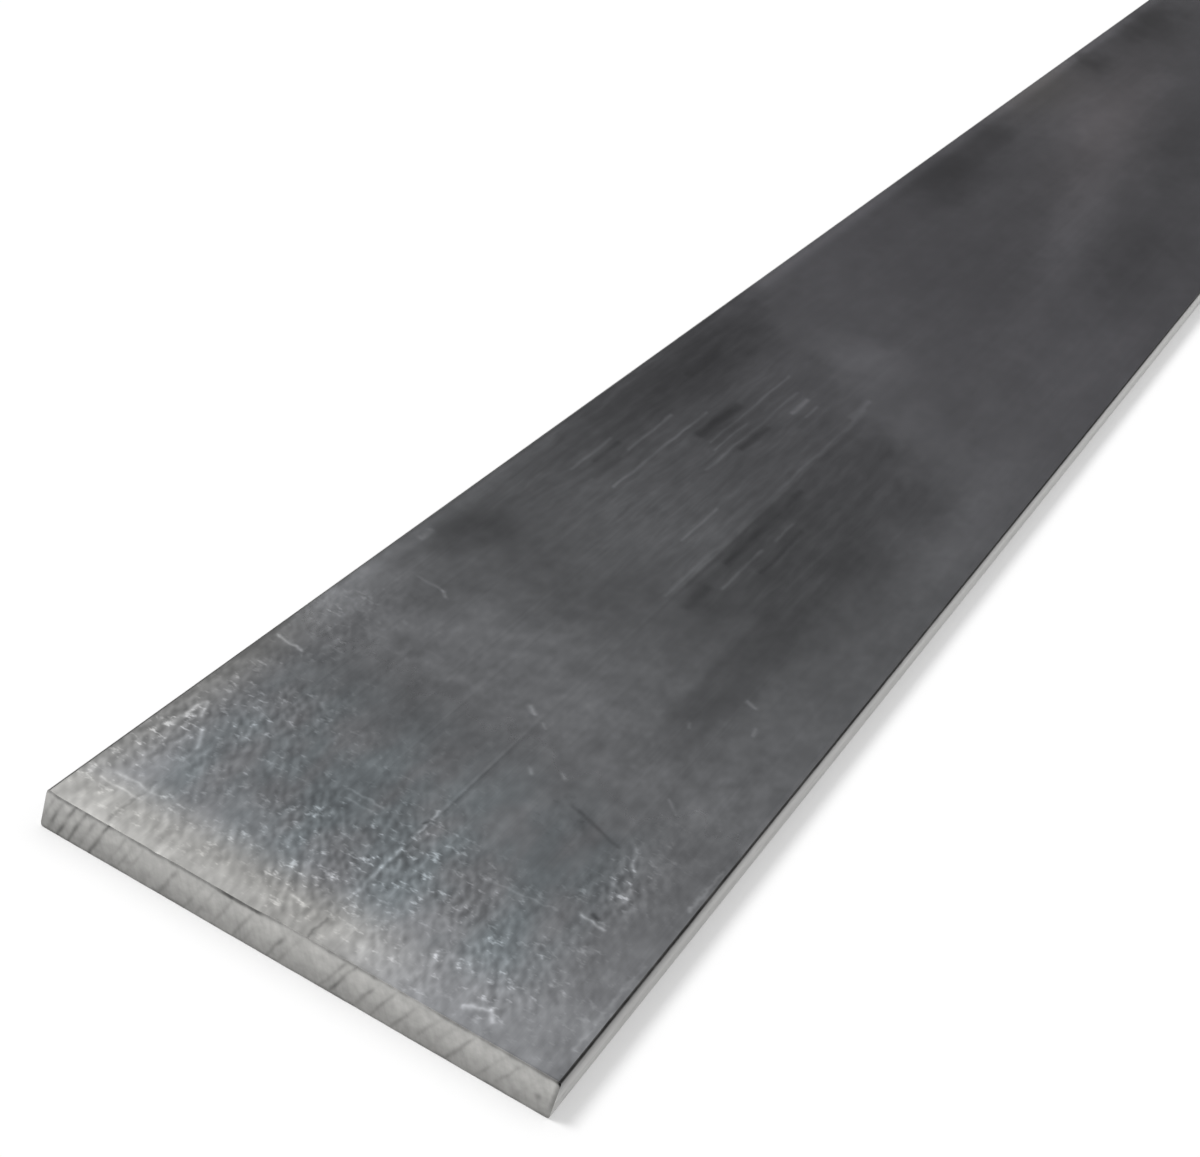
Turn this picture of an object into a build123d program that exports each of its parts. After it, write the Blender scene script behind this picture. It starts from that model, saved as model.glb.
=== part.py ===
"""Flat bar: one sawn length of extruded aluminium, 75 x 6 mm in section.

All sizes are in millimetres. The bar lies on its underside, with X along it, Y across it and Z up.
The origin is the centre of the underside.
"""

import os

from build123d import *

# The stock section, as the extrusion die makes it.
WIDTH = 75.0
THICKNESS = 6.0
ARRIS_RADIUS = 0.4  # the small rounding that the die leaves along each long edge

# The length between the two saw cuts.
LENGTH = 1000.0


def stock_section():
    """The section across the bar, standing on its lower side, with its four corners rounded."""
    return Plane.YZ * RectangleRounded(
        WIDTH, THICKNESS, ARRIS_RADIUS, align=(Align.CENTER, Align.MIN)
    )


def flat_bar():
    """The section drawn out both ways from the middle. The saw leaves each end square and sharp."""
    bar = extrude(stock_section(), amount=LENGTH / 2, both=True)
    bar.label = "flat_bar"
    return bar


os.makedirs("parts", exist_ok=True)
export_step(flat_bar(), "parts/flat_bar.step")
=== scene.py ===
import math

import bpy
import numpy as np
from mathutils import Matrix, Vector


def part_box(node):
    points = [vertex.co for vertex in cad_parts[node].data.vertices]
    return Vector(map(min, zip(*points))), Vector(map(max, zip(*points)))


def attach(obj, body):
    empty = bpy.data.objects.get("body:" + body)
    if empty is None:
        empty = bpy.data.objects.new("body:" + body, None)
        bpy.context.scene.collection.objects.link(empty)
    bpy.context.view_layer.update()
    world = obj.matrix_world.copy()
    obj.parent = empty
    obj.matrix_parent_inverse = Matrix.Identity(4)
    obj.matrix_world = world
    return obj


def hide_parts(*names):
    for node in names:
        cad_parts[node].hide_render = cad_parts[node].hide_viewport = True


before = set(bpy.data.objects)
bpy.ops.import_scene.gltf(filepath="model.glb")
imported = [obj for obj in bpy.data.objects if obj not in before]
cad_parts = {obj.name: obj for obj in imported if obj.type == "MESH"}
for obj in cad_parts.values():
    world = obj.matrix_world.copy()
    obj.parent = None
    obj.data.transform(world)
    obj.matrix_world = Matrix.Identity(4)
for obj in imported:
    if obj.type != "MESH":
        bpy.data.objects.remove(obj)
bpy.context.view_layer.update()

# The looks of one length of mill-finish aluminium flat bar, as it lies on a pale floor.
#
# The frame is the CAD model's, in metres: X runs along the bar, Y across it and Z up, and the origin is the
# centre of the underside. Marks are placed in millimetres on the bar itself: "along" is counted from the
# end at -X, "across" from the edge at +Y, and "height" from the underside.

MM = 0.001

low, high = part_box("flat_bar")
LENGTH, WIDTH, THICKNESS = (high[k] - low[k] for k in range(3))
ARRIS = 0.4 * MM  # radius of the four long edges, as the CAD section has it


# ---------------------------------------------------------------------------------------------------------
# Relief, worked out in metres with numpy. A positive depth goes into the metal.
# ---------------------------------------------------------------------------------------------------------

# Lines that the extrusion die drags along the whole bar: millimetres across, depth in millimetres.
MAIN_LINE = 39.2
DIE_LINES = (
    (6.2, 0.004), (11.8, 0.006), (17.1, 0.008), (24.9, 0.006), (29.0, 0.009), (33.4, 0.006),
    (MAIN_LINE, 0.050), (45.1, 0.006), (52.7, 0.005), (60.3, 0.007), (68.4, 0.005),
)
# How much of the main line is left: places along in millimetres, and shares.
MAIN_LINE_KEPT = ((0, 45, 60, 100, 120, 200, 220, 1000), (0.8, 0.7, 0.12, 0.12, 0.3, 0.3, 0.15, 0.25))
DIE_LINE_HALF_WIDTH = 0.18  # millimetres
UNDERSIDE_LINES = 0.6  # how deep the lines are on the underside, as a share of their depth on the top

# Where the blade's teeth scored the near end: millimetres across at mid height, and strength.
NEAR_SAW_MARKS = (
    (0.6, 0.4), (1.9, 0.9), (3.5, 1.0), (5.2, 1.1), (6.9, 0.9), (8.6, 1.3), (11.4, 0.5), (12.8, 0.4),
    (14.2, 0.5), (16.8, 0.3), (19.4, 0.6), (23.2, 0.4), (24.9, 0.4), (27.5, 0.4), (30.6, 0.6), (32.0, 0.2),
    (35.7, 1.0), (37.4, 0.4), (43.6, 0.9), (44.9, 0.9), (48.6, 0.7), (51.0, 0.6), (54.1, 0.7), (57.2, 0.4),
    (59.4, 0.3), (61.9, 0.6), (66.2, 0.5), (68.5, 0.5), (71.4, 0.2),
)
# The far end's marks are drawn by chance: how many, then the first place, the pitch and the stray of each.
FAR_MARKS, FAR_START, FAR_PITCH, FAR_STRAY = 39, 1.2, 1.9, 0.5
SAW_MARK_DEPTH = 0.060  # millimetres, as the next five are
SAW_MARK_HALF_WIDTH = 0.27
FINE_SCORE_DEPTH, FINE_SCORE_PITCH = 0.010, 0.27
WAVE_DEPTH, WAVE_PITCH = 0.012, 2.4
BLADE_CENTRE = (163.0, -52.0)  # across and height, so the arcs lean more towards the right
CORNER_FADE = 0.4  # millimetres in from a side over which the marks reach their full depth

KNOTS = 4096  # random knots in a ripple before it repeats


def ripple(positions, pitch, seed):
    """A smooth random curve between -1 and 1, with a knot every pitch."""
    knots = np.random.default_rng(seed).uniform(-1.0, 1.0, KNOTS)
    place = np.asarray(positions) / pitch + KNOTS / 4
    first = np.floor(place).astype(int)
    part = place - first
    part = part * part * (3.0 - 2.0 * part)
    return knots[first % KNOTS] * (1.0 - part) + knots[(first + 1) % KNOTS] * part


def across_mm(y):
    """Millimetres from the edge at +Y."""
    return (WIDTH / 2 - y) / MM


def nearest_end(x):
    """Which end a place along the bar is nearer to, and how far in from it the place lies."""
    return "near" if x < 0 else "far", min(x + LENGTH / 2, LENGTH / 2 - x)


def place_along(end, into_end):
    """The place along the bar that lies this far in from one of its ends."""
    return -LENGTH / 2 + into_end if end == "near" else LENGTH / 2 - into_end


def die_line_depth(x, y, strength):
    """How deep the die's lines are at one place along and many across."""
    along = (x + LENGTH / 2) / MM
    depth = np.zeros_like(y)
    for across, deep in DIE_LINES:
        off = np.abs(across_mm(y) - across) / DIE_LINE_HALF_WIDTH
        kept = np.interp(along, *MAIN_LINE_KEPT) if across == MAIN_LINE else 1.0
        depth += deep * kept * np.clip(1.0 - off, 0.0, 1.0)
    return depth * MM * strength


def blade_reach(across, height):
    """Distance from the blade's centre, which is the same all along one tooth's arc."""
    return np.hypot(across - BLADE_CENTRE[0], height - BLADE_CENTRE[1])


def saw_marks(end):
    """(reach of the arc, strength) for each mark of one end."""
    places = NEAR_SAW_MARKS
    if end == "far":
        chance = np.random.default_rng(41)
        places = []
        for k in range(FAR_MARKS):
            across = FAR_START + FAR_PITCH * k + chance.uniform(-FAR_STRAY, FAR_STRAY)
            places.append((across, chance.uniform(0.3, 1.0)))
    middle = THICKNESS / MM / 2
    return [(blade_reach(across, middle), strength) for across, strength in places]


def sawn_relief(y, z, end):
    """Depth of the saw's marks at points of a sawn end, and how strongly each point is scored."""
    across, height = across_mm(y), z / MM
    reach = blade_reach(across, height)
    scored = np.zeros_like(y)
    for at, strength in saw_marks(end):
        # A tooth's mark wanders a little, and it fades in and out along its arc.
        along = np.clip(0.75 - 0.05 * height + 0.55 * ripple(height + 7.3 * at, 1.5, 5) + 0.15, 0.05, None)
        wander = 0.10 * ripple(height + 3.1 * at, 1.2, 6)
        broad = SAW_MARK_HALF_WIDTH * (1.0 + 0.35 * ripple(height + 5.7 * at, 1.9, 7))
        scored += strength * along * np.exp(-(((reach - at + wander) / broad) ** 2))
    strayed = reach + 0.05 * ripple(height, 1.0, 8)
    fine = 0.5 + 0.5 * ripple(strayed, FINE_SCORE_PITCH, 9 if end == "near" else 10)
    wave = 1.0 + ripple(reach, WAVE_PITCH, 11)
    depth = SAW_MARK_DEPTH * scored + FINE_SCORE_DEPTH * fine + WAVE_DEPTH * wave
    inside = np.clip((WIDTH / 2 - np.abs(y)) / (CORNER_FADE * MM), 0.0, 1.0)
    return depth * inside * MM, scored


# How the saw pulled the near end's top edge down: millimetres across, millimetres of drop, and how much
# painted shade lies along the lip.
NEAR_LIP = (
    (0.0, 0.28, 0.35), (1.5, 0.50, 0.30), (6.0, 0.54, 0.28), (12.0, 0.52, 0.28), (15.6, 0.50, 0.30),
    (16.8, 0.62, 0.45), (18.2, 0.50, 0.25), (20.0, 0.46, 0.45), (24.5, 0.48, 0.45), (28.0, 0.52, 0.85),
    (31.8, 0.50, 0.90), (33.4, 0.34, 0.25), (36.0, 0.22, 0.15), (40.0, 0.20, 0.15), (41.5, 0.26, 0.35),
    (44.5, 0.26, 0.30), (46.0, 0.20, 0.25), (49.0, 0.26, 0.35), (52.0, 0.18, 0.20), (56.5, 0.20, 0.20),
    (58.5, 0.26, 0.38), (61.5, 0.26, 0.38), (64.0, 0.20, 0.30), (66.0, 0.27, 0.38), (69.5, 0.27, 0.38),
    (71.5, 0.22, 0.35), (73.0, 0.27, 0.60), (75.0, 0.26, 0.60),
)
OTHER_DROP, OTHER_SHADE = 0.20, 0.20  # the same for the three other edges, where both stray by chance
# Where each edge's random draws start, by its end and whether it is the top one.
LIP_SEEDS = {("near", True): 21, ("near", False): 24, ("far", True): 27, ("far", False): 30}
LIP_LEAN = 0.36  # how far the lip leans back, as a share of its own height
LIP_HEIGHT = 0.28  # millimetres; any further drop pulls the face itself down
LEAST_LIP, MOST_LIP = 0.05, 0.4  # millimetres
ROLL_REACH = 2.2  # millimetres in from the end over which the face is pulled down
ROLL_SIDE_FADE = 1.5  # millimetres in from a side over which that pull sets in
ROLL_SHADE = 0.45  # painted shade on the pulled down face, which would mirror the bright ceiling, so that it looks like the rest


def edge_drop(y, end, top):
    """Where the saw pulled an edge down: the lip's height and the face's drop, in metres, and the painted
    shade along the lip.
    """
    across = across_mm(y)
    seed = LIP_SEEDS[end, top]
    if end == "near" and top:
        places, drops, darks = zip(*NEAR_LIP)
        drop = np.interp(across, places, drops)
        dark = np.interp(across, places, darks)
    else:
        drop = OTHER_DROP + 0.08 * ripple(across, 4.0, seed)
        dark = OTHER_SHADE + 0.15 * ripple(across, 3.0, seed + 2)
    from_side = np.clip((WIDTH / 2 - np.abs(y)) / MM / ROLL_SIDE_FADE, 0.0, 1.0)
    roll = np.clip(drop - LIP_HEIGHT, 0.0, None) * from_side
    ragged = 0.05 * ripple(across, 0.9, seed)
    lip = np.minimum(drop, LIP_HEIGHT) + ragged + 0.03 * ripple(across, 0.35, seed + 1)
    dark = dark + 0.15 * ripple(across, 0.8, seed + 2)
    return np.clip(lip, LEAST_LIP, MOST_LIP) * MM, roll * MM, np.clip(dark, 0.0, 1.0)


# ---------------------------------------------------------------------------------------------------------
# The bar's mesh: sheets of quads for its faces, close together where there is relief to hold.
# ---------------------------------------------------------------------------------------------------------

COARSE_COLUMN = 0.75 * MM
FINE_COLUMN = 0.20 * MM
LINE_CLEARANCE = 0.1 * MM  # no other column stands nearer than this to those of a die line
ARC_STEPS = 5
ARRIS_ROWS = (0.0, 0.06, 0.13, 0.21, 0.30, 0.41, 0.55)  # millimetres in from an arris
CAP_ROW = 0.21  # millimetres between the rows of a sawn end
FINE_ROWS = (*ARRIS_ROWS, 0.75, 1.0, 1.3, 1.7, 2.2)  # millimetres in from an end
FIRST_COARSE_ROW, LONGEST_ROW, ROW_GROWTH = 0.8, 12.0, 1.06
LIP_FADE = 0.22  # millimetres over which the painted shade of a lip fades out
LIP_TOP_SHARE = 0.5  # how much of that painted shade there is on the face beside the lip
FULL_ROLL = 0.2  # millimetres of pull at which the face gets its full painted shade
MARK_SHADE = 0.6  # how much painted shade lies in a saw mark of full strength
NEAR_STOP, CHART_STOP = 100.0, 640.0  # millimetres along where the scratches and then the chart end
CHART_FADE = 80  # millimetres before its end over which the chart gives way to chance

# The finishes, numbered as the mesh gets them: three stretches of the wide faces, the sides, and the ends.
NEAR, MIDDLE, REST, EDGE, SAWN = range(5)


def corner_drop(y):
    """How far the rounded section lies below its flat at y."""
    into = np.clip(np.abs(y) - (WIDTH / 2 - ARRIS), 0.0, ARRIS)
    return ARRIS - np.sqrt(ARRIS**2 - into**2)


def coarse_columns():
    """The places of the coarse columns: evenly across, three on each die line, and round the arrises."""
    flat = WIDTH / 2 - ARRIS
    places = list(np.linspace(-flat, flat, round(2 * flat / COARSE_COLUMN) + 1))
    for across, _ in DIE_LINES:
        centre = WIDTH / 2 - across * MM
        line = [centre + k * DIE_LINE_HALF_WIDTH * MM for k in (-1, 0, 1)]
        places = [y for y in places if min(abs(y - edge) for edge in line) > LINE_CLEARANCE] + line
    places.sort()
    arc = [flat + ARRIS * math.sin(math.radians(90 * k / ARC_STEPS)) for k in range(1, ARC_STEPS + 1)]
    return [-y for y in reversed(arc)] + places + arc


def fine_columns(coarse):
    """The coarse columns with finer ones between them, and which of these each coarse one is."""
    flat = WIDTH / 2 - ARRIS
    fine, parents = [], []
    for first, second in zip(coarse, coarse[1:]):
        parents.append(len(fine))
        parts = 1
        if abs(first + second) < 2 * flat:
            # The small amount taken off keeps rounding from adding a column.
            parts = max(1, math.ceil((second - first) / FINE_COLUMN - 0.01))
        fine += [first + (second - first) * k / parts for k in range(parts)]
    parents.append(len(fine))
    fine.append(coarse[-1])
    return fine, parents


def cap_shares():
    """The rows of a sawn end, as shares of the height, closer together at the two arrises."""
    height = THICKNESS / MM
    inner = height - 2 * ARRIS_ROWS[-1]
    count = round(inner / CAP_ROW)
    middle = [ARRIS_ROWS[-1] + inner * k / count for k in range(1, count)]
    rows = [*ARRIS_ROWS, *middle, *(height - d for d in reversed(ARRIS_ROWS))]
    return np.array(rows) / height


def row_places():
    """The rows along the bar, and for each whether it has the fine columns."""
    half = [d * MM for d in FINE_ROWS]
    fine = [True] * len(half)
    step = FIRST_COARSE_ROW
    while half[-1] < LENGTH / 2 - step * MM * 0.5:
        half.append(min(half[-1] + step * MM, LENGTH / 2))
        fine.append(False)
        step = min(step * ROW_GROWTH, LONGEST_ROW)
    half[-1] = LENGTH / 2
    near = [-LENGTH / 2 + d for d in half]
    far = [LENGTH / 2 - d for d in reversed(half[:-1])]
    return near + far, fine + list(reversed(fine[:-1]))


COARSE = np.array(coarse_columns())
FINE, PARENTS = fine_columns(COARSE.tolist())
FINE = np.array(FINE)
ROWS, ROW_IS_FINE = row_places()
SHARES = cap_shares()


class Body:
    """Collects the bar's vertices and faces."""

    def __init__(self):
        self.points, self.dark, self.faces, self.slots = [], [], [], []

    def add(self, x, y, z, dark):
        """Adds a row of vertices and gives their numbers."""
        start = len(self.points)
        x, y, z, dark = np.broadcast_arrays(x, y, z, dark)
        self.points += list(zip(x.tolist(), y.tolist(), z.tolist()))
        self.dark += dark.tolist()
        return list(range(start, len(self.points)))

    def face(self, corners, slot):
        """Adds one face by the numbers of its vertices, with its finish."""
        self.faces.append(corners)
        self.slots.append(slot)

    def strip(self, first, second, slot_of, flip):
        """Quads between two rows of vertices of the same length."""
        for k in range(len(first) - 1):
            corners = [first[k], second[k], second[k + 1], first[k + 1]]
            self.face(corners[::-1] if flip else corners, slot_of(k))


def lean_at(into_end):
    """How far the faces lean back this far in from an end, as a share of the lip's height."""
    return LIP_LEAN * max(0.0, 1.0 - into_end / (FINE_ROWS[-1] * MM))


def add_wide_row(body, x, y, top):
    """Adds a row of vertices across the top or the underside. Gives it, and the lip's height along it."""
    end, into_end = nearest_end(x)
    lip, roll, dark = edge_drop(y, end, top)
    nearness = max(0.0, 1.0 - into_end / MM / ROLL_REACH)
    lines = die_line_depth(x, y, 1.0 if top else UNDERSIDE_LINES)
    down = corner_drop(y) + lines + roll * nearness**2
    z = THICKNESS - down if top else down
    # Painted shade dulls the face where the saw pulled it down, and lies beside the lip.
    roll_shade = ROLL_SHADE * nearness * np.clip(roll / MM / FULL_ROLL, 0.0, 1.0)
    edge_dark = dark * LIP_TOP_SHARE * math.exp(-((into_end / LIP_FADE / MM) ** 2))
    inward = into_end + lean_at(into_end) * lip
    return body.add(place_along(end, inward), y, z, np.maximum(roll_shade, edge_dark)), lip


def add_side_row(body, x, side, top_lip, bottom_lip):
    """Adds a row of vertices up one narrow side, between its two arrises, and gives it."""
    end, into_end = nearest_end(x)
    z = ARRIS + SHARES[1:-1] * (THICKNESS - 2 * ARRIS)
    under_top = np.clip(top_lip - (THICKNESS - ARRIS - z), 0.0, None)
    over_bottom = np.clip(bottom_lip - (z - ARRIS), 0.0, None)
    inward = into_end + lean_at(into_end) * (under_top + over_bottom)
    return body.add(place_along(end, inward), side, z, 0.0)


def add_rows(body):
    """Adds all the rows of vertices along the bar: those of the top, the underside and the two sides."""
    tops, bottoms, lefts, rights = [], [], [], []
    for x, dense in zip(ROWS, ROW_IS_FINE):
        y = FINE if dense else COARSE
        top, top_lip = add_wide_row(body, x, y, True)
        bottom, bottom_lip = add_wide_row(body, x, y, False)
        tops.append(top)
        bottoms.append(bottom)
        for side, store, corner in ((-WIDTH / 2, lefts, 0), (WIDTH / 2, rights, -1)):
            inner = add_side_row(body, x, side, top_lip[corner], bottom_lip[corner])
            store.append([bottom[corner], *inner, top[corner]])
    return tops, bottoms, lefts, rights


def slot_across(y, finish):
    """Gives each quad between two rows its finish: the wide face's own, or the sides' on an arris."""
    flat = WIDTH / 2 - ARRIS + 0.01 * MM
    return lambda k: finish if max(abs(y[k]), abs(y[k + 1])) < flat else EDGE


def top_finish(k):
    """The finish of the top between row k and the next."""
    along = (ROWS[k + 1] + LENGTH / 2) / MM
    if along <= NEAR_STOP:
        return NEAR
    return MIDDLE if along <= CHART_STOP else REST


def join_wide_rows(body, sheet, k, finish, under):
    """Adds the faces between row k of the top or the underside and the next."""
    fine_first = ROW_IS_FINE[k]
    if fine_first == ROW_IS_FINE[k + 1]:
        body.strip(sheet[k], sheet[k + 1], slot_across(FINE if fine_first else COARSE, finish), under)
        return
    # The fine columns stop here, so each face has several corners on one side and two on the other.
    many, few = (sheet[k], sheet[k + 1]) if fine_first else (sheet[k + 1], sheet[k])
    slot_of = slot_across(COARSE, finish)
    for m in range(len(COARSE) - 1):
        corners = many[PARENTS[m]: PARENTS[m + 1] + 1] + [few[m + 1], few[m]]
        body.face(corners[::-1] if fine_first != under else corners, slot_of(m))


def sawn_row(z, bottom_z, top_z, end):
    """How far in from its end one row of a sawn end lies, and its painted shade in the saw marks and beside
    the lips.
    """
    into_end, scored = sawn_relief(FINE, z, end)
    # Painted shade lies in the saw marks and beside the lips.
    dark = MARK_SHADE * scored
    for top in (True, False):
        lip, _, edge_dark = edge_drop(FINE, end, top)
        below = top_z - z if top else z - bottom_z
        into_end = into_end + LIP_LEAN * np.clip(lip - below, 0.0, None)
        over = np.clip((below - lip) / (LIP_FADE * MM), 0.0, None)
        dark = np.maximum(dark, edge_dark * np.exp(-(over**2)))
    return into_end, dark


def close_end(body, end, bottom, top, left, right):
    """Adds one sawn end, row by row from the underside up, joined to the four faces around it."""
    bottom_z = corner_drop(FINE) + edge_drop(FINE, end, False)[1]
    top_z = THICKNESS - corner_drop(FINE) - edge_drop(FINE, end, True)[1]
    grid = [bottom]
    for j in range(1, len(SHARES) - 1):
        z = bottom_z + SHARES[j] * (top_z - bottom_z)
        into_end, dark = sawn_row(z, bottom_z, top_z, end)
        x = place_along(end, into_end)
        inner = body.add(x[1:-1], FINE[1:-1], z[1:-1], dark[1:-1])
        grid.append([left[j], *inner, right[j]])
    grid.append(top)
    for first, second in zip(grid, grid[1:]):
        body.strip(first, second, lambda _: SAWN, end == "far")


def build_bar():
    """The bar's vertices and faces, closed all round."""
    body = Body()
    tops, bottoms, lefts, rights = add_rows(body)
    for k in range(len(ROWS) - 1):
        join_wide_rows(body, tops, k, top_finish(k), False)
        join_wide_rows(body, bottoms, k, REST, True)
        body.strip(lefts[k], lefts[k + 1], lambda _: EDGE, False)
        body.strip(rights[k], rights[k + 1], lambda _: EDGE, True)
    for end, k in (("near", 0), ("far", -1)):
        close_end(body, end, bottoms[k], tops[k], lefts[k], rights[k])
    return body


SMOOTH_UP_TO = 40  # degrees between two faces, beyond which their edge is shown sharp


def make_bar():
    """The bar as an object, with its painted shade stored at the vertices."""
    body = build_bar()
    mesh = bpy.data.meshes.new("flat_bar_metal")
    mesh.from_pydata(body.points, [], body.faces)
    mesh.polygons.foreach_set("material_index", body.slots)
    mesh.polygons.foreach_set("use_smooth", [True] * len(body.faces))
    dark = mesh.attributes.new("dark", "FLOAT", "POINT")
    dark.data.foreach_set("value", body.dark)
    mesh.set_sharp_from_angle(angle=math.radians(SMOOTH_UP_TO))
    mesh.validate()
    mesh.update()
    bar = bpy.data.objects.new("flat_bar_metal", mesh)
    bpy.context.scene.collection.objects.link(bar)
    return bar


# ---------------------------------------------------------------------------------------------------------
# Materials, written as sums over the place on the bar in millimetres.
# ---------------------------------------------------------------------------------------------------------

FALL = math.exp(-1.0)  # what a soft mark has fallen to at one reach from its middle
STROKE_FADE = 0.65  # a stroke has faded to a third at this share of its width


class Value:
    """A number that a material works out at each point, so that sums of it read as plain arithmetic."""

    def __init__(self, tree, socket):
        self.tree, self.socket = tree, socket

    def maths(self, operation, *others):
        """The outcome of one maths node with this value as its first input."""
        node = self.tree.nodes.new("ShaderNodeMath")
        node.operation = operation
        for slot, value in zip(node.inputs, (self, *others)):
            feed(self.tree, slot, value)
        return Value(self.tree, node.outputs[0])

    def __add__(self, other):
        return self.maths("ADD", other)

    def __sub__(self, other):
        return self.maths("SUBTRACT", other)

    def __mul__(self, other):
        return self.maths("MULTIPLY", other)

    def __rsub__(self, other):
        return self.maths("MULTIPLY_ADD", -1.0, other)

    __radd__ = __add__

    def absolute(self):
        return self.maths("ABSOLUTE")

    def at_least(self, other):
        return self.maths("MAXIMUM", other)

    def at_most(self, other):
        return self.maths("MINIMUM", other)

    def rise(self, start, stop, amount=1.0):
        """0 up to start and the amount from stop on, with a smooth slope between.

        Where stop is the lesser of the two, it falls instead of rising.
        """
        node = self.tree.nodes.new("ShaderNodeMapRange")
        node.interpolation_type = "SMOOTHSTEP"
        flip = start > stop
        feed(self.tree, node.inputs["Value"], self)
        node.inputs["From Min"].default_value = min(start, stop)
        node.inputs["From Max"].default_value = max(start, stop)
        node.inputs["To Min"].default_value = amount if flip else 0.0
        node.inputs["To Max"].default_value = 0.0 if flip else amount
        return Value(self.tree, node.outputs[0])

    def as_power_of(self, base):
        """A number raised to this power."""
        node = self.tree.nodes.new("ShaderNodeMath")
        node.operation = "POWER"
        node.inputs[0].default_value = base
        feed(self.tree, node.inputs[1], self)
        return Value(self.tree, node.outputs[0])

    def as_ratio(self):
        """The ratio that this many stops make."""
        return self.as_power_of(2.0)

    def bell(self):
        """1 where this squared distance is nothing, falling off smoothly around it."""
        return self.as_power_of(FALL)


def feed(tree, slot, value):
    """Gives an input a plain value or a link."""
    if isinstance(value, Value):
        tree.links.new(value.socket, slot)
    else:
        slot.default_value = value


class Surface:
    """A metal's node tree, with the place on the bar ready to use in millimetres."""

    def __init__(self, name):
        self.material = bpy.data.materials.new(name)
        self.material.use_nodes = True
        self.tree = self.material.node_tree
        self.shader = self.tree.nodes["Principled BSDF"]
        coordinates = self.tree.nodes.new("ShaderNodeTexCoord")
        split = self.tree.nodes.new("ShaderNodeSeparateXYZ")
        self.tree.links.new(coordinates.outputs["Object"], split.inputs[0])
        x, y, z = (Value(self.tree, socket) for socket in split.outputs)
        self.along = (x + LENGTH / 2) * (1 / MM)
        self.across = (WIDTH / 2 - y) * (1 / MM)
        self.height = z * (1 / MM)
        self.to_end = self.along.at_most(LENGTH / MM - self.along)
        self.plan = self.vector(self.across, self.along, 1.0)

    def vector(self, x, y, z):
        """Three values joined into one place."""
        node = self.tree.nodes.new("ShaderNodeCombineXYZ")
        for slot, value in zip(node.inputs, (x, y, z)):
            feed(self.tree, slot, value)
        return Value(self.tree, node.outputs[0])

    def noise(self, sizes, detail=2.0, roughness=0.5, bend=0.0, seed=0.0, place=None):
        """Noise between 0 and 1 whose spots are about sizes millimetres along, across and in height."""
        node = self.tree.nodes.new("ShaderNodeTexNoise")
        place = place or (self.along, self.across, self.height)
        point = self.vector(*(p * (1 / size) + seed for p, size in zip(place, sizes)))
        feed(self.tree, node.inputs["Vector"], point)
        node.inputs["Scale"].default_value = 1.0
        node.inputs["Detail"].default_value = detail
        node.inputs["Roughness"].default_value = roughness
        node.inputs["Distortion"].default_value = bend
        return Value(self.tree, node.outputs["Fac"])

    def attribute(self, name):
        """A value stored at the mesh's vertices."""
        node = self.tree.nodes.new("ShaderNodeAttribute")
        node.attribute_name = name
        return Value(self.tree, node.outputs["Fac"])

    def turned(self, plan, centre, direction, reach):
        """How far the place lies from a centre in one (across, along) direction, in reaches."""
        node = self.tree.nodes.new("ShaderNodeVectorMath")
        node.operation = "DOT_PRODUCT"
        feed(self.tree, node.inputs[0], plan)
        start = centre[0] * direction[0] + centre[1] * direction[1]
        node.inputs[1].default_value = (direction[0] / reach, direction[1] / reach, -start / reach)
        return Value(self.tree, node.outputs["Value"])

    def patch(self, centre, reach, turn=0.0, plan=None):
        """A soft oval, 1 at its (across, along) centre, with two half sizes and a turn in degrees."""
        cosine, sine = math.cos(math.radians(turn)), math.sin(math.radians(turn))
        plan = plan or self.plan
        wide = self.turned(plan, centre, (cosine, sine), reach[0])
        long = self.turned(plan, centre, (-sine, cosine), reach[1])
        return long.maths("MULTIPLY_ADD", long, wide * wide).bell()

    def stroke(self, start, stop, width, plan=None):
        """1 on a straight mark between two (across, along) places, fading out over its width."""
        across, along = stop[0] - start[0], stop[1] - start[1]
        long = math.hypot(across, along)
        middle = ((start[0] + stop[0]) / 2, (start[1] + stop[1]) / 2)
        reach, half = width * STROKE_FADE, long / 2 / (width * STROKE_FADE)
        plan = plan or self.plan
        lengthways = self.turned(plan, middle, (across / long, along / long), reach)
        past = lengthways.absolute().at_least(half) - half
        off = self.turned(plan, middle, (-along / long, across / long), reach)
        return off.maths("MULTIPLY_ADD", off, past * past).bell()

    def colour(self, level, red=1.0, green=1.0, blue=1.0):
        """A colour from one level and its three tints."""
        node = self.tree.nodes.new("ShaderNodeCombineColor")
        for slot, tint in zip(node.inputs, (red, green, blue)):
            feed(self.tree, slot, level * tint)
        return Value(self.tree, node.outputs[0])

    def finish(self, colour, roughness, relief_mm):
        """Joins colour, roughness and bump to the shader, as metal."""
        feed(self.tree, self.shader.inputs["Base Color"], colour)
        feed(self.tree, self.shader.inputs["Roughness"], roughness)
        self.shader.inputs["Metallic"].default_value = 1.0
        bump = self.tree.nodes.new("ShaderNodeBump")
        bump.inputs["Strength"].default_value = 1.0
        bump.inputs["Distance"].default_value = MM
        feed(self.tree, bump.inputs["Height"], relief_mm)
        self.tree.links.new(bump.outputs[0], self.shader.inputs["Normal"])
        return self.material


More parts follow.
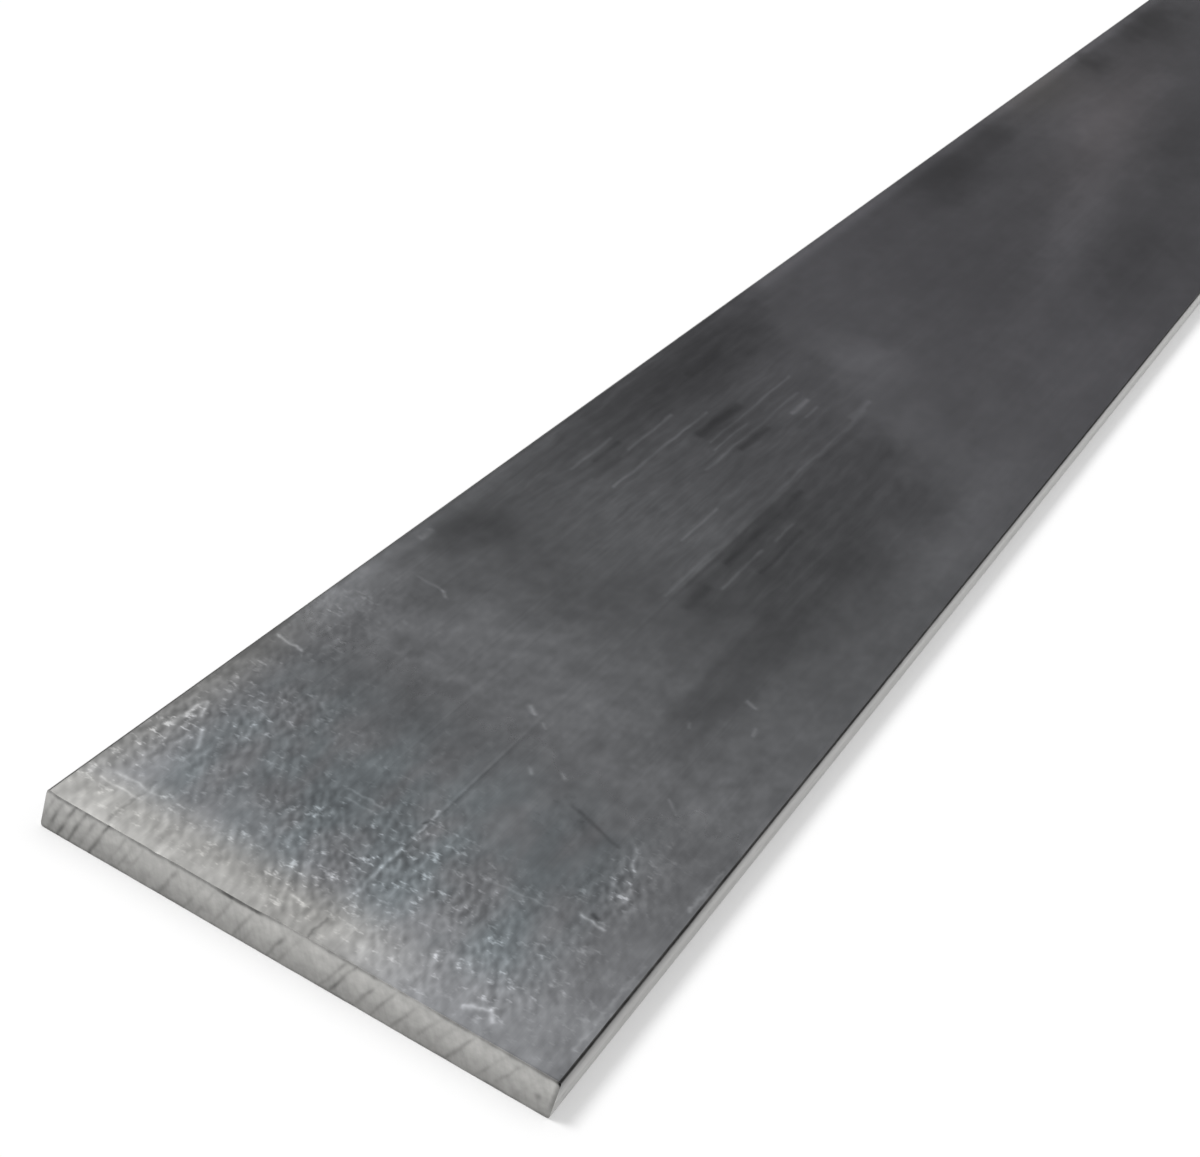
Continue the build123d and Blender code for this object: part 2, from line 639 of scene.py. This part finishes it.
# The oxide's cloudy tones on the charted part of the top: across and along, half sizes, turn in degrees,
# and how much lighter or darker, in stops.
CLOUDS = (
    (56, 36, 7, 11, 0, -0.35), (28, 26, 10, 9, 0, -0.30), (27, 50, 11, 9, 0, -0.25),
    (1, 41, 4, 14, 0, 0.40), (12, 35, 9, 8, 0, 0.20), (2, 68, 6, 16, 0, 0.70), (17, 72, 11, 12, 0, 0.35),
    (39, 73, 12, 10, 0, 0.25), (28, 100, 30, 8, 0, -0.20), (7, 100, 6, 9, 0, -0.40),
    (22, 174, 9, 12, 0, -0.25), (28, 127, 14, 14, 0, 0.20), (30, 219, 8, 13, 0, 0.48),
    (46, 202, 13, 9, 0, 0.20), (68, 186, 5, 40, 0, 0.30), (6, 343, 8, 24, 0, -0.85),
    (5, 384, 7, 16, 0, -0.55), (22, 433, 13, 43, 0, 0.60), (44, 449, 9, 41, 8, -0.40),
    (57, 345, 8, 32, 0, -0.38), (6, 482, 6, 11, 0, -0.80), (26, 487, 6, 16, 0, 0.30),
    (6, 550, 11, 25, 0, -1.00), (65, 279, 9, 27, 0, 0.20), (33, 279, 12, 25, 0, -0.15),
    (39.5, 356, 6.5, 62, 7.5, 0.48), (44, 3.5, 10, 7, 0, 0.30), (74.7, 2, 1.6, 4.5, 0, -1.10),
    (30, 91, 1.6, 4, -35, -0.30), (11, 76, 3.5, 4, 0, -0.30), (28, 80, 1.5, 8, -38, 0.20),
    (57, 45, 5, 1.5, -23, -0.25), (1.5, 20, 5, 14, 0, 0.38), (71, 150, 5, 34, 0, 0.22),
    (24, 21, 4, 7, 0, -0.18), (45, 4, 4, 3, 0, 0.20), (1, 440, 5, 45, 0, 0.28), (1, 535, 3, 45, 0, 0.30),
    (7, 15, 9, 11, 0, 0.14), (44, 1, 12, 5, 0, 0.10),
)
CLOUD_REACH = 3  # half sizes from its centre at which a cloud has faded away
CLOUD_MARGIN = 5  # millimetres added to that reach, as the clouds are bent along the bar

# Where the near end is scuffed: across and along, half sizes, and how much.
SCUFFED = (
    (36, 20, 20, 13, 0.95), (64, 37, 4.5, 11, 0.85), (7, 24, 8, 11, 0.60), (12, 38, 9, 8, 0.45),
    (5, 65, 8, 18, 0.45), (32, 6, 40, 5.0, 0.35), (53, 42, 8, 12, -0.45), (2.5, 20, 4, 16, 0.35),
    (60, 14, 9, 11, 0.45),
)

# Streaks along the bar where it slid over the cooling table: across, from and to along, half width, stops.
STREAKS = (
    (9.0, 131, 147, 0.5, 0.40), (12.9, 146, 165, 0.6, 0.40), (17.0, 132, 172, 0.6, 0.45),
    (22.2, 162, 201, 0.5, 0.40), (24.0, 160, 175, 0.4, 0.40), (26.0, 152, 196, 0.5, 0.35),
    (28.6, 187, 195, 0.9, 0.50), (31.0, 188, 194, 0.6, 0.35), (33.0, 126, 141, 0.5, 0.35),
    (38.3, 108, 202, 0.6, 0.22), (44.2, 118, 135, 0.6, 0.45), (44.8, 140, 148, 0.5, 0.30),
    (20.0, 163, 180, 1.8, -0.55), (27.4, 165, 177, 1.0, -0.45), (10.5, 137, 147, 0.8, -0.40),
    (13.3, 132, 142, 0.8, -0.30), (41.4, 126, 160, 1.1, -0.40), (42.4, 108, 116, 1.4, -0.35),
    (47, 128, 147, 0.7, -0.3), (8.5, 183, 197, 1.6, -0.30), (37.6, 196, 206, 1.0, 0.30),
)

# Single scratches and dents near the near end: from and to as (across, along), half width, stops.
SCRATCHES = (
    ((1.8, 50.7), (6.0, 50.2), 0.55, 0.95), ((3.5, 30.3), (3.2, 22.5), 0.60, 0.70),
    ((3.9, 30.0), (4.9, 27.0), 0.50, 0.6), ((6.5, 25.0), (8.5, 20.8), 0.55, 0.60),
    ((59.5, 3.2), (62.4, 5.1), 0.65, 0.80), ((62.4, 5.1), (63.9, 3.2), 0.65, 0.7),
    ((63.2, 28.8), (66.7, 28.3), 0.55, 1.00), ((52.0, 48.2), (60.6, 44.9), 0.70, -0.45),
    ((47.3, 53.7), (48.2, 52.8), 0.6, 0.7), ((43.4, 51.2), (44.2, 50.2), 0.6, 0.6),
    ((36.5, 64.3), (38.0, 62.9), 0.8, 0.80), ((39.8, 62.0), (40.6, 61.2), 0.5, 0.4),
    ((8.0, 80.6), (12.5, 80.3), 0.6, 0.40), ((12.5, 80.3), (13.7, 79.0), 0.6, 0.60),
    ((2.4, 94.0), (2.6, 90.6), 1.0, 0.60), ((60.4, 91.4), (61.6, 91.0), 0.8, 0.80),
    ((64.0, 86.0), (64.5, 84.0), 0.6, 0.50), ((55.8, 79.3), (56.2, 78.2), 0.6, 0.5),
    ((61.6, 59.8), (63.6, 57.6), 0.5, 0.4), ((39.2, 10.0), (39.2, 23.0), 0.55, 0.60),
    ((39.0, 27.6), (39.0, 29.3), 0.5, 0.9), ((38.8, 31.3), (38.9, 33.3), 0.5, 0.9),
    ((38.6, 29.6), (38.8, 31.0), 0.50, -0.80), ((39.1, 0.3), (39.1, 4.8), 0.4, -0.7),
    ((27.6, 28.4), (33.0, 28.4), 0.45, 0.50), ((28.3, 26.6), (32.2, 26.6), 0.45, 0.40),
    ((50.0, 25.7), (60.2, 27.3), 0.4, 0.35), ((73.9, 40.0), (73.9, 51.0), 0.50, 0.55),
    ((64.3, 29.9), (65.0, 29.6), 0.70, -0.80), ((4.0, 9.0), (11.2, 9.2), 0.6, 0.50),
    ((3.4, 6.8), (9.0, 6.8), 0.45, 0.45), ((33.8, 5.3), (35.6, 4.8), 0.60, 0.70),
    ((8.8, 1.0), (8.8, 11.0), 0.45, -0.40), ((62.8, 46.5), (64.2, 42.0), 0.50, 0.50),
    ((63.5, 37.6), (65.6, 36.6), 0.55, 0.50), ((65.8, 38.6), (66.4, 35.0), 0.5, 0.5),
    ((14.6, 42.0), (15.2, 41.2), 0.60, 0.60), ((73.6, 6.0), (73.8, 26.0), 0.50, 0.35),
)

MILL_LEVEL, EDGE_LEVEL, SAWN_LEVEL = 0.36, 0.505, 0.465  # how much each finish reflects where it is plain
MOST_LEVEL = 0.9  # a mark reflects no more than this
MILL_ROUGHNESS, EDGE_ROUGHNESS, SAWN_ROUGHNESS = 0.25, 0.32, 0.45
LEAST_ROUGHNESS = 0.12
DEEPEST_SHADE = 1.6  # stops that the painted shade stored in the mesh takes off where it is full
TEETH_LEAN = 27  # degrees from upright by which the fine scores lean


def total(parts):
    """Sums (amount, value) pairs, each as soon as it is made, as the renderer holds few at a time."""
    result = 0.0
    for amount, value in parts:
        result = value.maths("MULTIPLY_ADD", amount, result)
    return result


def clouds(metal, start, stop, plan):
    """(stops, patch) pairs for the clouds that reach into one stretch of the top."""
    for across, along, wide, long, turn, amount in CLOUDS:
        reach = CLOUD_REACH * long + CLOUD_MARGIN
        if start < along + reach and along - reach < stop:
            yield amount, metal.patch((across, along), (wide, long), turn, plan)


def near_tones(stops, across, along):
    """Adds the tones of the last few millimetres before the near saw cut to the bent tones."""
    # They are rubbed bright, less so towards the right.
    stops = stops + along.rise(13.5, 2.5) * (across.rise(60, 5) * 0.60 + 0.15)
    stops = stops + along.rise(9.5, 21) * along.rise(64, 52) * -0.22
    return stops + across.rise(64, 73) * along.rise(60, 34) * -0.12


def streak_tones(metal, stops, front):
    """Adds the marks of the cooling table, fine ones by chance and the charted streaks."""
    wander = (metal.noise((11, 5, 9), detail=2, roughness=0.6, seed=23.5) - 0.5) * 2.4
    place = (metal.along, metal.across + wander, metal.height)
    rubbed = metal.noise((15, 1.4, 9), detail=2, roughness=0.6, seed=6.1, place=place)
    rubbed = (rubbed - 0.5) * metal.along.rise(95, 130) * front.rise(246, 205) * metal.across.rise(66, 50)
    plan = metal.vector(metal.across + wander * 0.4, metal.along, 1.0)
    streaks = total(
        (amount, metal.stroke((across, first), (across, last), width, plan))
        for across, first, last, width, amount in STREAKS
    )
    return stops + rubbed * 1.0 + streaks * (wander * 0.5 + 1.2)


def middle_tones(metal, stops, across, along):
    """Adds what lies beyond the near stretch: a dark field with a slanting front, and the streaks in it."""
    front = along + across * 0.815
    # The field runs up to the die's main line.
    field = metal.across.rise(39.0, 39.7) * across.rise(68, 56)
    field = field * along.rise(101.5, 117) * front.rise(238, 221.5)
    stops = stops + field * (along.rise(171, 147) * -0.24 - 0.26)
    stops = stops + across.rise(18, 8) * along.rise(125, 161.5) * front.rise(235, 209.5) * -0.62
    stops = stops + front.rise(221.5, 241) * along.rise(304, 255) * 0.16
    return streak_tones(metal, stops, front)


def charted_tones(metal, start, stop):
    """Stops lighter or darker on one stretch of the top, as the oxide and the table left it."""
    bend_across = (metal.noise((22, 6, 9), detail=2, roughness=0.6, seed=2.3) - 0.5) * 7.0
    bend_along = metal.noise((16, 9, 9), detail=2, roughness=0.6, seed=5.9) - 0.5
    bend_along = bend_along * (metal.along * 0.12 + 6.0).at_most(40.0)
    # Most tones follow these bent places, so that no outline is a plain oval or a straight line.
    across, along = metal.across + bend_across, metal.along + bend_along
    stops = total(clouds(metal, start, stop, metal.vector(across, along, 1.0)))
    # A dark patch lies right of the die's main line.
    dark_patch = across.rise(51, 54) * across.rise(64, 58) * along.rise(64, 83) * along.rise(122, 105)
    stops = stops + dark_patch * -0.42
    # The left rim rubs bright, more so further off.
    rim = metal.across.rise(4.5, 1.0)
    rim = rim * (metal.along.rise(45, 80) * 0.38 + metal.along.rise(225, 280) * 0.32)
    stops = stops + rim
    if start < NEAR_STOP:
        stops = near_tones(stops, across, along)
    if stop > NEAR_STOP:
        stops = middle_tones(metal, stops, across, along)
    return stops


def chance_tones(metal):
    """The same kind of tones by chance, for the rest of the two faces."""
    haze = (metal.noise((70, 20, 9), detail=3, roughness=0.55, seed=3.1) - 0.5) * 2.2
    haze = haze + (metal.noise((34, 1.3, 9), detail=2, seed=8.6) - 0.5) * 0.7
    return haze + metal.to_end.rise(13, 2.5) * 0.45


def scuffing(metal, where):
    """Slanting pits and small flecks, with painted light and painted shade on the pits' two flanks: stops
    lighter or darker, and their relief in millimetres.
    """
    slanting = (metal.along - metal.across * 0.45, metal.across + metal.along * 0.45, metal.height)
    beside = (slanting[0] + 0.25, slanting[1] - 0.40, metal.height)
    pits = metal.noise((1.9, 1.2, 9), detail=0.4, seed=9.4, place=slanting) - 0.5
    # The same pits a little to the side, taken off, paint each pit with a lit flank and a shaded flank.
    shade = metal.noise((1.9, 1.2, 9), detail=0.4, seed=9.4, place=beside) - 0.5
    flecks = metal.noise((1.0, 1.7, 9), detail=2, roughness=0.6, seed=15.8).rise(0.55, 0.76)
    stops = (pits - shade) * 1.35 + pits * 1.0 + flecks * 1.15 - 0.06
    return where * stops, where * (pits * 0.034 + flecks * 0.012)


def near_marks(metal, crowd):
    """The near stretch of the top: its tones with the single scratches, and where it is scuffed."""
    tones = charted_tones(metal, 0.0, NEAR_STOP)
    shake = (metal.noise((1.6, 1.6, 9), detail=1, roughness=0.6, seed=21.7) - 0.5) * 1.1
    plan = metal.vector(metal.across + shake, metal.along - shake, 1.0)
    marked = total((amount, metal.stroke(a, b, width, plan)) for a, b, width, amount in SCRATCHES)
    tones = tones + marked * (shake * 0.9 + 0.95)
    where = total(
        (amount, metal.patch((across, along), (wide, long)))
        for across, along, wide, long, amount in SCUFFED
    )
    where = (where * 1.05 + 0.16) * metal.to_end.rise(98, 40) * (crowd.rise(0.30, 0.60) * 0.55 + 0.45)
    return tones, where


def mill_tint(metal, part, smudge):
    """How red and how blue the mill finish is beside its green."""
    cool = metal.to_end.rise(60, 34) * metal.to_end.rise(5, 16)
    cool = cool * metal.across.rise(4, 12) * metal.across.rise(68, 58)
    cool = cool * smudge.rise(-0.18, 0.14)
    far = metal.to_end.rise(90, 300)
    red = 0.98 - cool * 0.075 + far * 0.035
    blue = 1.045 + cool * 0.015 + far * 0.05
    if part == "middle":
        warm = metal.patch((24, 440), (12, 80), 7)
        olive = metal.patch((3, 438), (9, 34))
        return red + warm * 0.05 + olive * 0.03, blue - warm * 0.025 - olive * 0.08
    warm = metal.to_end.rise(13, 4) * metal.across.rise(58, 38)
    warm = warm.at_least(metal.across.rise(8, 0) * metal.to_end.rise(70, 40) * 0.8)
    return red + warm * 0.03, blue - warm * 0.075


def mill_finish(part):
    """The two wide faces: cloudy oxide, faint die lines, and scuffs that gather near the two saw cuts.

    The near and middle parts of the top are charted, and the rest of it and the underside go on by chance.
    The three are one finish, and each leaves out what fades to nothing before it starts.
    """
    metal = Surface("mill_finish_" + part)
    crowd = metal.noise((9, 6, 9), detail=1, roughness=0.6, seed=4.2)
    grain = metal.noise((3.0, 0.45, 9), detail=1, roughness=0.6, seed=1.7) - 0.5
    lines = metal.noise((120, 0.35, 9), detail=2, roughness=0.7, seed=7.7) - 0.5
    mottle = metal.noise((4.2, 2.8, 9), detail=1, roughness=0.6, seed=14.9) - 0.5
    where = None
    if part == "near":
        tones, where = near_marks(metal, crowd)
    elif part == "middle":
        charted = metal.along.rise(CHART_STOP, CHART_STOP - CHART_FADE)
        tones = charted_tones(metal, NEAR_STOP, CHART_STOP) * charted
        tones = tones + chance_tones(metal) * (1.0 - charted)
    else:
        tones = chance_tones(metal)
        where = metal.to_end.rise(90, 4) * (crowd.rise(0.30, 0.60) * 0.65 + 0.25)
    relief = lines * 0.004 + grain * 0.0015
    smudge = metal.noise((18, 7, 9), detail=2, seed=11.5) - 0.5
    rough = metal.to_end.rise(70, 0) * 0.20 + MILL_ROUGHNESS + smudge * 0.08
    stops = tones + grain * 0.10 + lines * 0.22
    stops = stops + mottle * (metal.to_end.rise(120, 50) * 0.50 + metal.to_end.rise(230, 130) * 0.25 + 0.25)
    if where:
        scuffs, scuff_relief = scuffing(metal, where)
        stops, relief, rough = stops + scuffs, relief + scuff_relief, rough + scuffs * 0.05
    # The mesh's painted shade darkens the lips and the pulled down face near the saw cuts.
    level = (stops - metal.attribute("dark") * DEEPEST_SHADE).as_ratio() * MILL_LEVEL
    red, blue = mill_tint(metal, part, smudge)
    colour = metal.colour(level.at_most(MOST_LEVEL), red, 1.0, blue)
    return metal.finish(colour, rough.at_least(LEAST_ROUGHNESS), relief)


def extruded_edge():
    """The two narrow sides and the rounded arrises, with the die's lines along them."""
    metal = Surface("extruded_edge")
    lines = metal.noise((160, 0.5, 0.30), detail=2.5, roughness=0.6, seed=4.4) - 0.5
    haze = metal.noise((26, 8, 1.8), detail=2, seed=6.3) - 0.5
    nicks = metal.noise((3.0, 9, 0.7), detail=1, seed=31.3).rise(0.62, 0.76)
    rubs = metal.noise((14, 9, 0.5), detail=1, seed=33.1).rise(0.60, 0.72)

    # Painted shade darkens the top right arris and the top of that side, deepest near the saw cuts, with a
    # trace in the top left arris.
    from_top = THICKNESS / MM - metal.height
    near = metal.to_end.rise(75, 25)
    arris_shade = from_top.rise(2.4, 0.0) * (0.55 - near * 0.25 - metal.to_end.rise(220, 330) * 0.12)
    arris_shade = arris_shade + from_top.rise(3.6, 0.0) * near * 0.42 + from_top.rise(1.3, 0.1) * (0.17 - near * 0.07)
    arris_shade = arris_shade * metal.across.rise(30, 40) + from_top.rise(0.5, 0.0) * metal.across.rise(40, 30) * 0.15
    arris_shade = arris_shade * (metal.noise((4, 2, 0.8), detail=2, seed=9.9) * 0.6 + 0.7)
    level = lines * 0.22 + haze * 0.20 - nicks * 0.09 + rubs * 0.09 + EDGE_LEVEL
    level = level * (1.0 - arris_shade.at_most(0.9))
    rough = lines * 0.16 + EDGE_ROUGHNESS + haze * 0.10
    return metal.finish(metal.colour(level, 1.01, 1.0, 0.98), rough, lines * 0.008 - nicks * 0.010)


def sawn_end():
    """The two ends as the circular saw leaves them: bright, with painted shade in the scores along the
    teeth's arcs.
    """
    metal = Surface("sawn_end")
    dark = metal.attribute("dark")
    lean = math.radians(TEETH_LEAN)
    over = metal.across * math.cos(lean) + metal.height * math.sin(lean)
    up = metal.height * math.cos(lean) - metal.across * math.sin(lean)
    place = (over, up, metal.along)
    teeth = metal.noise((0.9, 4.0, 9), detail=2, roughness=0.6, seed=3.7, place=place) - 0.5
    blotch = metal.noise((9, 1.8, 1.2), detail=3, roughness=0.6, seed=5.2) - 0.5
    # Painted shade: the end darkens towards the underside and at its foot, and the mesh's painted shade
    # darkens the saw marks and the lips.
    lit = metal.height.rise(0.4, 4.8) * 0.30 + 0.70
    foot_shade = metal.height.rise(0.5, 0.0) * 0.05
    corner = metal.across.rise(74.2, 74.9) * metal.height.rise(0.6, 2.6) * 0.45
    face_on = metal.vector(metal.across, metal.height, 1.0)
    spot = metal.patch((72.9, 2.4), (0.45, 0.5), 20, face_on) * 0.35
    level = lit * (1.0 - dark * 0.75 - foot_shade - corner - spot)
    level = level * (teeth * 0.42 + blotch * 0.50 + 1.0) * SAWN_LEVEL
    rough = teeth * 0.08 + SAWN_ROUGHNESS + blotch * 0.06
    return metal.finish(metal.colour(level, 1.01, 1.0, 0.97), rough, teeth * 0.010 - dark * 0.006)


# ---------------------------------------------------------------------------------------------------------
# Floor, light and camera.
# ---------------------------------------------------------------------------------------------------------

FLOOR_HALF_SIZE = 40.0  # metres, so that its edge is never seen
FLOOR_DIFFUSE, FLOOR_GLOW = 0.72, 0.27  # how much it scatters, and how much it is lifted towards white


def make_floor():
    """A plain floor that the camera and reflections see lifted to white. It keeps the bar's shadow."""
    mesh = bpy.data.meshes.new("floor")
    half = FLOOR_HALF_SIZE
    corners = [(-half, -half, 0), (half, -half, 0), (half, half, 0), (-half, half, 0)]
    mesh.from_pydata(corners, [], [(0, 1, 2, 3)])
    floor = bpy.data.objects.new("floor", mesh)
    bpy.context.scene.collection.objects.link(floor)
    material = bpy.data.materials.new("floor_white")
    material.use_nodes = True
    tree = material.node_tree
    tree.nodes.clear()
    diffuse = tree.nodes.new("ShaderNodeBsdfDiffuse")
    diffuse.inputs["Color"].default_value = (FLOOR_DIFFUSE, FLOOR_DIFFUSE, FLOOR_DIFFUSE, 1)
    glow = tree.nodes.new("ShaderNodeEmission")
    path = tree.nodes.new("ShaderNodeLightPath")
    seen = Value(tree, path.outputs["Is Camera Ray"])
    seen = seen.maths("MAXIMUM", Value(tree, path.outputs["Is Glossy Ray"]))
    seen = seen.maths("MAXIMUM", Value(tree, path.outputs["Is Transmission Ray"]))
    feed(tree, glow.inputs["Strength"], seen * FLOOR_GLOW)
    both = tree.nodes.new("ShaderNodeAddShader")
    tree.links.new(diffuse.outputs[0], both.inputs[0])
    tree.links.new(glow.outputs[0], both.inputs[1])
    out = tree.nodes.new("ShaderNodeOutputMaterial")
    tree.links.new(both.outputs[0], out.inputs["Surface"])
    mesh.materials.append(material)


# Radiance of the studio by height above the horizon: (sine of the elevation, level).
STUDIO = ((0.0, 0.12), (0.45, 0.115), (0.55, 0.17), (0.62, 0.34), (0.70, 0.85), (0.78, 1.0))


def make_world():
    """A dim wall all round and a wide bright ceiling, which the metal mirrors softly."""
    world = bpy.data.worlds.new("studio")
    bpy.context.scene.world = world
    world.use_nodes = True
    tree = world.node_tree
    background = tree.nodes["Background"]
    coordinates = tree.nodes.new("ShaderNodeTexCoord")
    split = tree.nodes.new("ShaderNodeSeparateXYZ")
    tree.links.new(coordinates.outputs["Generated"], split.inputs[0])
    ramp = tree.nodes.new("ShaderNodeValToRGB")
    ramp.color_ramp.interpolation = "EASE"
    stops = ramp.color_ramp.elements
    while len(stops) < len(STUDIO):
        stops.new(0.5)
    for stop, (height, level) in zip(stops, STUDIO):
        stop.position = height
        stop.color = (level, level, level, 1)
    tree.links.new(split.outputs[2], ramp.inputs[0])
    tree.links.new(ramp.outputs[0], background.inputs["Color"])


SUN_ELEVATION, SUN_AZIMUTH = 62.0, 105.0  # degrees, the second counted from +X towards +Y
SUN_ANGLE = 18.0  # degrees across, which softens the shadow
SUN_STRENGTH = 1.45


def make_key():
    """A big soft lamp far off on the bar's left, so that the shadow lies on its right."""
    lamp = bpy.data.lights.new("key", "SUN")
    lamp.energy = SUN_STRENGTH
    lamp.angle = math.radians(SUN_ANGLE)
    key = bpy.data.objects.new("key", lamp)
    bpy.context.scene.collection.objects.link(key)
    elevation, azimuth = math.radians(SUN_ELEVATION), math.radians(SUN_AZIMUTH)
    level = math.cos(elevation)
    towards = Vector((level * math.cos(azimuth), level * math.sin(azimuth), math.sin(elevation)))
    key.rotation_euler = towards.to_track_quat("Z", "Y").to_euler()


# The camera stands low over the near end and looks along the bar, which climbs to the right.
CAMERA_PLACE = (-0.7029, -0.0854, 0.1966)
CAMERA_FORWARD = (0.8217, 0.2532, -0.5106)
CAMERA_UP = (0.3733, 0.4379, 0.8179)
CAMERA_LENS = 70.75  # millimetres


def make_camera():
    """The camera that the picture is taken with."""
    data = bpy.data.cameras.new("camera")
    data.lens = CAMERA_LENS
    data.clip_start, data.clip_end = 0.01, 100.0
    camera = bpy.data.objects.new("camera", data)
    bpy.context.scene.collection.objects.link(camera)
    back = -Vector(CAMERA_FORWARD).normalized()
    right = Vector(CAMERA_UP).cross(back).normalized()
    up = back.cross(right)
    turn = Matrix((right, up, back)).transposed()
    camera.matrix_world = Matrix.Translation(CAMERA_PLACE) @ turn.to_4x4()
    bpy.context.scene.camera = camera


bpy.context.scene.view_settings.view_transform = "Standard"
bar = make_bar()
for part in ("near", "middle", "rest"):
    bar.data.materials.append(mill_finish(part))
bar.data.materials.append(extruded_edge())
bar.data.materials.append(sawn_end())
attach(bar, "root")
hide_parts("flat_bar")
make_floor()
make_world()
make_key()
make_camera()
